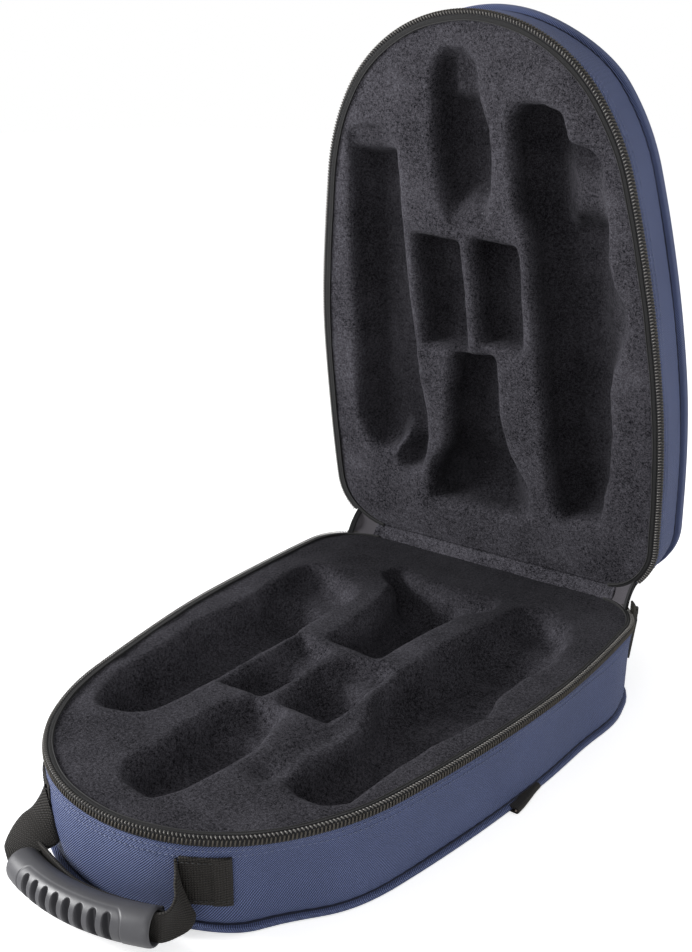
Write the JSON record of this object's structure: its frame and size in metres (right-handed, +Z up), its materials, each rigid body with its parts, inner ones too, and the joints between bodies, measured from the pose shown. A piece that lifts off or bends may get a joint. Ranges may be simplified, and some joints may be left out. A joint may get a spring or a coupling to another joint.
{
  "type": "clarinet case",
  "caption": "Soft-shell clarinet case, hinged lid, coil zipper, plush-lined foam pockets and a carrying handle at the rounded nose.",
  "frame": {"origin": "middle of the base's flat underside", "axes": "+Z up; -Y towards the rounded nose with the handle; +X to the right with the nose in front"},
  "size_m": [0.2624, 0.4484, 0.4383],
  "materials": {
    "blue_nylon": "woven nylon, matte with a slight sheen",
    "black_plush": "short-pile plush",
    "black_tape": "woven tape, matte",
    "black_webbing": "ribbed webbing, matte",
    "grey_lining": "thin woven lining",
    "black_coil": "moulded nylon coil, satin",
    "grey_grip": "moulded, satin",
    "slider_metal": "black enamel",
    "board": "plain board"
  },
  "bodies": {
    "base": {"base_bottom_panel": "blue_nylon", "base_seam_welt": "black_tape", "base_side_wall": "blue_nylon", "base_floor_board": "board", "base_insert": "black_plush", "base_rim_binding": "black_tape", "base_zipper_tape": "black_tape", "base_zipper_coil": "black_coil", "zipper_end_stops": "slider_metal", "base_hinge_panel": "black_tape", "base_hinge_lining": "grey_lining", "hinge_fold": "black_tape", "handle_patch_right": "black_webbing", "handle_patch_left": "black_webbing", "strap_loop_right": "black_webbing", "strap_loop_left": "black_webbing"},
    "lid": {"lid_top_panel": "blue_nylon", "lid_seam_welt": "black_tape", "lid_side_wall": "blue_nylon", "lid_stiffener_board": "board", "lid_insert": "black_plush", "lid_rim_binding": "black_tape", "lid_zipper_tape": "black_tape", "lid_zipper_coil": "black_coil", "lid_hinge_panel": "black_tape", "lid_hinge_lining": "grey_lining"},
    "handle": {"handle_grip": "grey_grip", "handle_webbing": "black_webbing"},
    "slider": {"slider_body": "slider_metal", "slider_crown": "slider_metal"},
    "pull": {"pull_tab": "slider_metal"}
  },
  "joints": [
    {"name": "lid_hinge", "type": "hinge", "parent": "base", "child": "lid", "pos_m": [0, 0.1906, 0.05575], "axis": [-1, 0, 0], "range_deg": [-79.5, 95]},
    {"name": "handle_swing", "type": "hinge", "parent": "base", "child": "handle", "pos_m": [0, -0.184, 0.0315], "axis": [-1, 0, 0], "range_deg": [0, 75]},
    {"name": "slider_travel", "type": "hinge", "parent": "base", "child": "slider", "pos_m": [0.08603, 0.148, 0.05575], "axis": [0, 0, -1], "range_deg": [0, 30]},
    {"name": "pull_swing", "type": "hinge", "parent": "slider", "child": "pull", "pos_m": [0.12081, 0.17718, 0.05575], "axis": [0.6428, -0.766, 0], "range_deg": [0, 150]}
  ]
}
